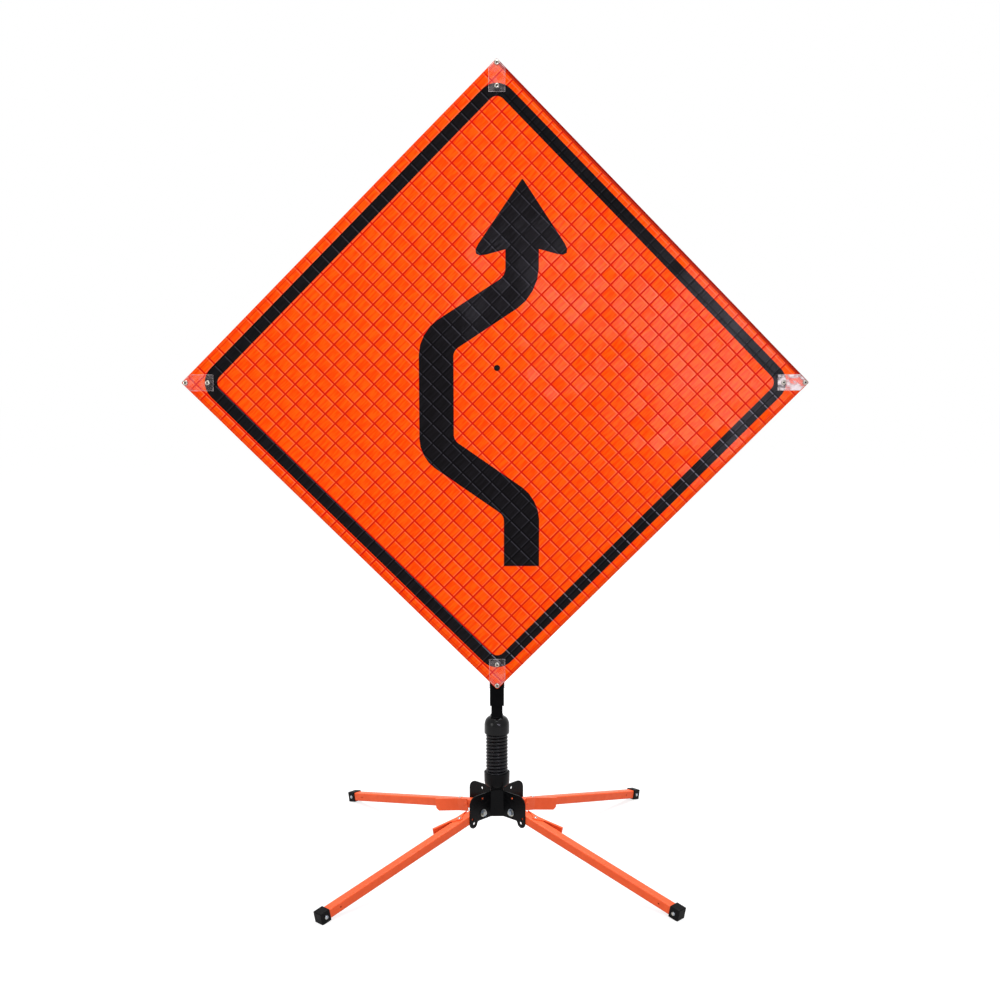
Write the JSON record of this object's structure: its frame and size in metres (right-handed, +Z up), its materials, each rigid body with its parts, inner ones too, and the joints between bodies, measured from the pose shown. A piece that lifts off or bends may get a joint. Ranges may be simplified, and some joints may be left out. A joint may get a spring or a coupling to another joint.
{
  "type": "roll-up traffic sign on folding spring stand",
  "caption": "Diamond vinyl roll-up work-zone sign on crossed ribs, on a folding four-leg spring stand with sprung leg locks.",
  "frame": {"origin": "on the floor under the mast's axis", "axes": "+Z up the mast; the sign faces -Y; +X to the right as the sign is read"},
  "size_m": [1.7208, 0.9132, 2.2191],
  "materials": {
    "black_coat": "satin",
    "black_rubber": "matte",
    "brass_tip": "satin",
    "clear_plastic": "gloss",
    "fibreglass_rib": "satin",
    "orange_coat": "satin",
    "orange_vinyl": "gloss",
    "spring_steel": "satin",
    "zinc_plate": "satin"
  },
  "bodies": {
    "base": {"hub_tube": "black_coat", "front_hub_plate": "black_coat", "rear_hub_plate": "black_coat", "lower_spring_cup": "black_coat", "lower_spring_plug": "zinc_plate", "front_left_leg_bolt": "zinc_plate", "front_right_leg_bolt": "zinc_plate", "rear_left_leg_bolt": "zinc_plate", "rear_right_leg_bolt": "zinc_plate"},
    "front_left_leg": {"front_left_leg_tube": "orange_coat", "front_left_foot_cap": "black_rubber", "front_left_lever_rivet": "zinc_plate", "front_left_lever_spring": "spring_steel"},
    "front_left_lever": {"front_left_lock_lever": "orange_coat"},
    "front_right_leg": {"front_right_leg_tube": "orange_coat", "front_right_foot_cap": "black_rubber", "front_right_lever_rivet": "zinc_plate", "front_right_lever_spring": "spring_steel"},
    "front_right_lever": {"front_right_lock_lever": "orange_coat"},
    "rear_left_leg": {"rear_left_leg_tube": "orange_coat", "rear_left_foot_cap": "black_rubber", "rear_left_lever_rivet": "zinc_plate", "rear_left_lever_spring": "spring_steel"},
    "rear_left_lever": {"rear_left_lock_lever": "orange_coat"},
    "rear_right_leg": {"rear_right_leg_tube": "orange_coat", "rear_right_foot_cap": "black_rubber", "rear_right_lever_rivet": "zinc_plate", "rear_right_lever_spring": "spring_steel"},
    "rear_right_lever": {"rear_right_lock_lever": "orange_coat"},
    "flex_link": {"coil_spring": "spring_steel"},
    "mast": {"upper_spring_cap": "black_coat", "upper_spring_plug": "zinc_plate", "mast_post": "black_coat"},
    "bracket": {"bracket_sleeve": "black_coat", "rib_channel": "black_coat"},
    "mast_clamp_tip": {"mast_clamp_tip": "brass_tip"},
    "mast_clamp_screw": {"mast_clamp_screw": "zinc_plate", "mast_clamp_handle": "zinc_plate"},
    "rib_clamp_tip": {"rib_clamp_tip": "brass_tip"},
    "rib_clamp_screw": {"rib_clamp_screw": "zinc_plate", "rib_clamp_handle": "zinc_plate"},
    "sign": {"upright_rib": "fibreglass_rib", "sign_face": "orange_vinyl", "crossing_bolt": "black_coat", "crossing_nut": "zinc_plate", "top_corner_leaf": "clear_plastic", "top_corner_pocket": "clear_plastic", "top_corner_rivet": "zinc_plate", "right_corner_leaf": "clear_plastic", "right_corner_pocket": "clear_plastic", "right_corner_rivet": "zinc_plate", "bottom_corner_leaf": "clear_plastic", "bottom_corner_pocket": "clear_plastic", "bottom_corner_rivet": "zinc_plate", "left_corner_leaf": "clear_plastic", "left_corner_pocket": "clear_plastic", "left_corner_rivet": "zinc_plate"},
    "cross_rib": {"cross_rib": "fibreglass_rib"}
  },
  "joints": [
    {"name": "front_left_leg_fold", "type": "hinge", "parent": "base", "child": "front_left_leg", "pos_m": [-0.05158, -0.03349, 0.137], "axis": [-0.7071, 0.7071, 0], "range_deg": [-20.03, 90]},
    {"name": "front_left_lever_press", "type": "hinge", "parent": "front_left_leg", "child": "front_left_lever", "pos_m": [-0.10559, -0.08185, 0.12165], "axis": [-0.1467, -0.1467, 0.9783], "range_deg": [0, 8], "stiffness_Nm_per_rad": 0.6, "springref_deg": -14.32, "deforming": ["front_left_lever_spring"]},
    {"name": "front_right_leg_fold", "type": "hinge", "parent": "base", "child": "front_right_leg", "pos_m": [0.05158, -0.03349, 0.137], "axis": [-0.7071, -0.7071, 0], "range_deg": [-20.03, 90]},
    {"name": "front_right_lever_press", "type": "hinge", "parent": "front_right_leg", "child": "front_right_lever", "pos_m": [0.10559, -0.08185, 0.12165], "axis": [-0.1467, 0.1467, -0.9783], "range_deg": [0, 8], "stiffness_Nm_per_rad": 0.6, "springref_deg": -14.32, "deforming": ["front_right_lever_spring"]},
    {"name": "rear_left_leg_fold", "type": "hinge", "parent": "base", "child": "rear_left_leg", "pos_m": [-0.05158, 0.03349, 0.137], "axis": [-0.7071, -0.7071, 0], "range_deg": [-99.97, 20.03]},
    {"name": "rear_left_lever_press", "type": "hinge", "parent": "rear_left_leg", "child": "rear_left_lever", "pos_m": [-0.10559, 0.08185, 0.12165], "axis": [0.1467, -0.1467, -0.9783], "range_deg": [0, 8], "stiffness_Nm_per_rad": 0.6, "springref_deg": -14.32, "deforming": ["rear_left_lever_spring"]},
    {"name": "rear_right_leg_fold", "type": "hinge", "parent": "base", "child": "rear_right_leg", "pos_m": [0.05158, 0.03349, 0.137], "axis": [-0.7071, 0.7071, 0], "range_deg": [-99.97, 20.03]},
    {"name": "rear_right_lever_press", "type": "hinge", "parent": "rear_right_leg", "child": "rear_right_lever", "pos_m": [0.10559, 0.08185, 0.12165], "axis": [0.1467, 0.1467, 0.9783], "range_deg": [0, 8], "stiffness_Nm_per_rad": 0.6, "springref_deg": -14.32, "deforming": ["rear_right_lever_spring"]},
    {"name": "spring_bend_fore_aft", "type": "hinge", "parent": "base", "child": "flex_link", "pos_m": [0, 0, 0.2695], "axis": [-1, 0, 0], "range_deg": [-25, 25], "stiffness_Nm_per_rad": 400, "deforming": ["coil_spring"]},
    {"name": "spring_bend_sideways", "type": "hinge", "parent": "flex_link", "child": "mast", "pos_m": [0, 0, 0.3355], "axis": [0, 1, 0], "range_deg": [-25, 25], "stiffness_Nm_per_rad": 400, "deforming": ["coil_spring"]},
    {"name": "bracket_slide", "type": "slide", "parent": "mast", "child": "bracket", "axis": [0, 0, 1], "range_m": [-0.03, 0.04]},
    {"name": "sign_lift", "type": "slide", "parent": "bracket", "child": "sign", "axis": [0, 0, 1], "range_m": [0, 0.12]},
    {"name": "cross_rib_fold", "type": "hinge", "parent": "sign", "child": "cross_rib", "pos_m": [0, -0.03472, 1.39861], "axis": [0, 1, 0], "range_deg": [0, 80]},
    {"name": "mast_clamp_travel", "type": "slide", "parent": "bracket", "child": "mast_clamp_tip", "axis": [0, 1, 0], "range_m": [0, 0.0035]},
    {"name": "mast_clamp_turn", "type": "hinge", "parent": "mast_clamp_tip", "child": "mast_clamp_screw", "pos_m": [0, 0.01617, 0.472], "axis": [0, 1, 0], "range_deg": [0, 720]},
    {"name": "rib_clamp_travel", "type": "slide", "parent": "bracket", "child": "rib_clamp_tip", "axis": [0, 1, 0], "range_m": [0, 0.0035]},
    {"name": "rib_clamp_turn", "type": "hinge", "parent": "rib_clamp_tip", "child": "rib_clamp_screw", "pos_m": [0, -0.0233, 0.6135], "axis": [0, 1, 0], "range_deg": [0, 720]}
  ],
  "couplings": [
    {"joint": "mast_clamp_turn", "follows": "mast_clamp_travel", "rad_per_m": 3590.4},
    {"joint": "rib_clamp_turn", "follows": "rib_clamp_travel", "rad_per_m": 3590.4}
  ]
}
